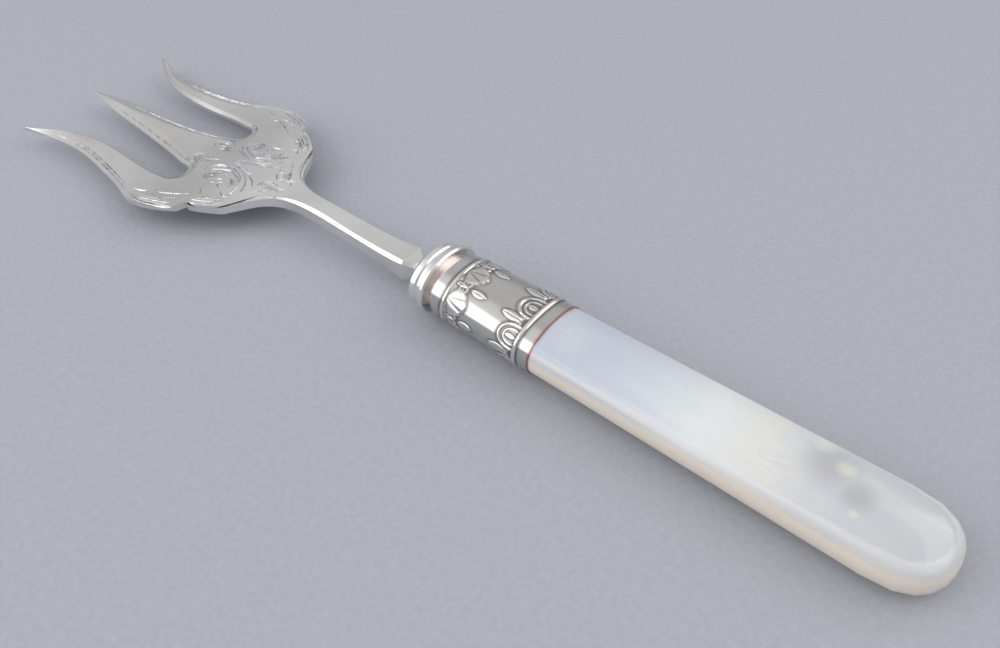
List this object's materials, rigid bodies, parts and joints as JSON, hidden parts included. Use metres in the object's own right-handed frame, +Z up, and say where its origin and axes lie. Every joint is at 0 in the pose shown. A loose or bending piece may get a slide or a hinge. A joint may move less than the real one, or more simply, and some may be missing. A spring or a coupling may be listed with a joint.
{
  "type": "bread fork",
  "caption": "Antique bread fork: a scroll-engraved silver-plated head with pointed tines, a stamped ferrule and a tapered mother-of-pearl handle.",
  "frame": {"origin": "on the table, under the middle of the whole fork as it lies", "axes": "+X towards the tips of the tines, +Z up from the table"},
  "size_m": [0.205, 0.0426, 0.0122],
  "materials": {
    "silver_plate": "polished silver plate, softly worn, with bright-cut engraving",
    "stamped_silver": "thin stamped silver with low relief, greyed in the hollows, a warm worn rear edge",
    "mother_of_pearl": "polished nacre, cream to white, with soft pink, green and blue lustre",
    "resin": "dark brown setting resin, out of sight"
  },
  "bodies": {
    "root": {"fork_head": "silver_plate", "ferrule": "stamped_silver", "pearl_handle": "mother_of_pearl", "tang_cement": "resin"}
  },
  "joints": []
}
